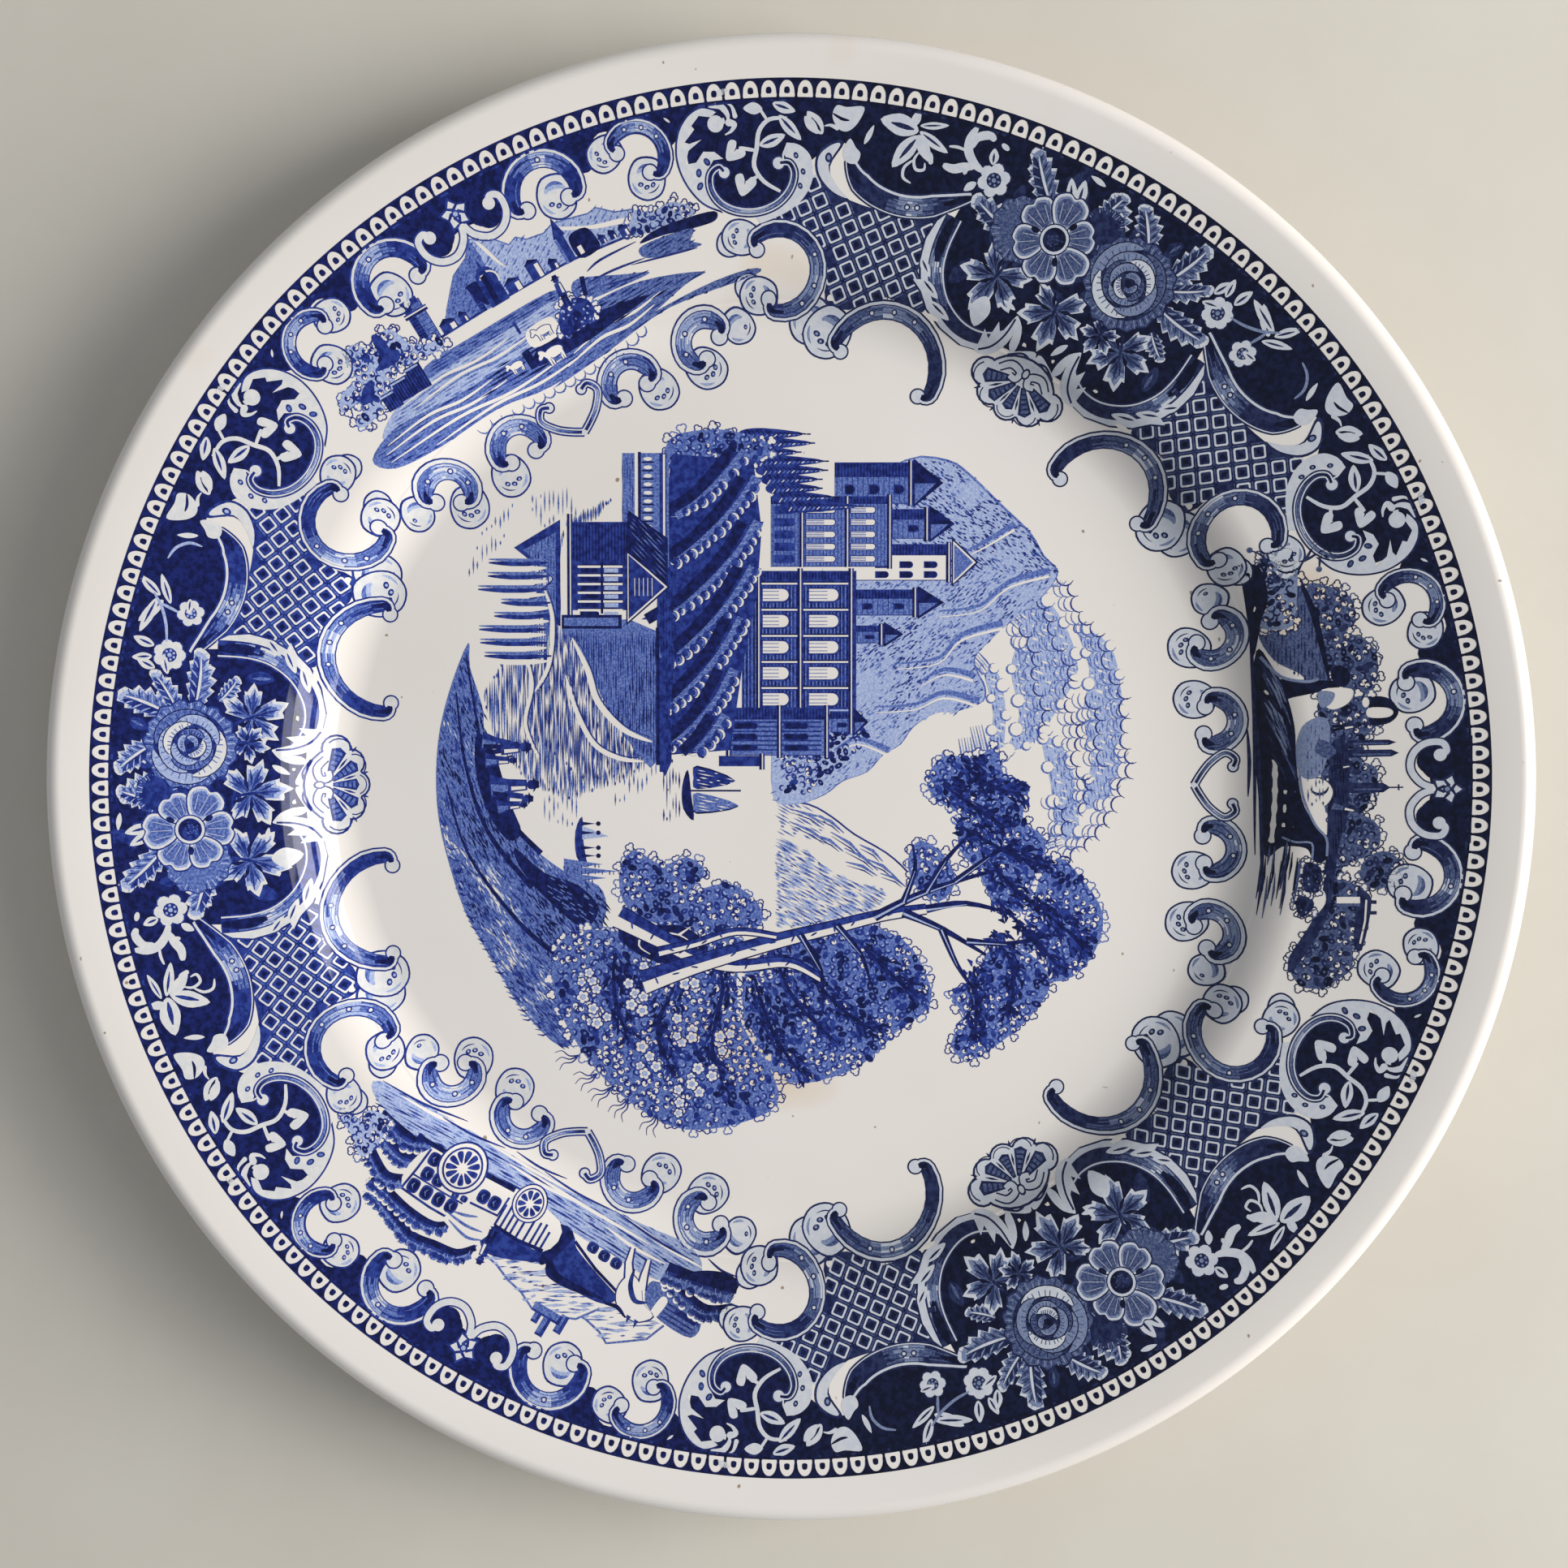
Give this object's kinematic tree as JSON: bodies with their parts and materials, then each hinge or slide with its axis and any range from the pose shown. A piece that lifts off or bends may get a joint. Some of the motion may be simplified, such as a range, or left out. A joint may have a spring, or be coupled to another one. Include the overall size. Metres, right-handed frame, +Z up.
{
  "type": "souvenir plate",
  "caption": "Round earthenware rim plate with a foot ring, decorated under its glaze with a blue printed lakeside scene, a flower and scroll border and a beaded edge.",
  "frame": {"origin": "centre of the circle on which the foot ring stands", "axes": "+Z up along the axis of the plate, +Y towards the top of the picture in the well"},
  "size_m": [0.25, 0.25, 0.0224],
  "materials": {
    "earthenware": "matt, bare fired clay",
    "ivory_glaze": "glossy clear glaze over ivory clay",
    "navy_print": "glossy, navy transfer print in the glaze",
    "border_print": "glossy, navy to mid blue transfer print in the glaze",
    "scene_print": "glossy, stippled mid blue transfer print in the glaze",
    "mark_print": "glossy, blue line print in the glaze"
  },
  "bodies": {
    "root": {"earthenware_body": "earthenware", "face_glaze": "ivory_glaze", "base_glaze": "ivory_glaze", "chain_edge_transfer": "navy_print", "border_transfer_boat": "border_print", "border_transfer_village": "border_print", "border_transfer_wagon": "border_print", "scene_transfer": "scene_print", "wreath_mark_transfer": "mark_print"}
  },
  "joints": []
}
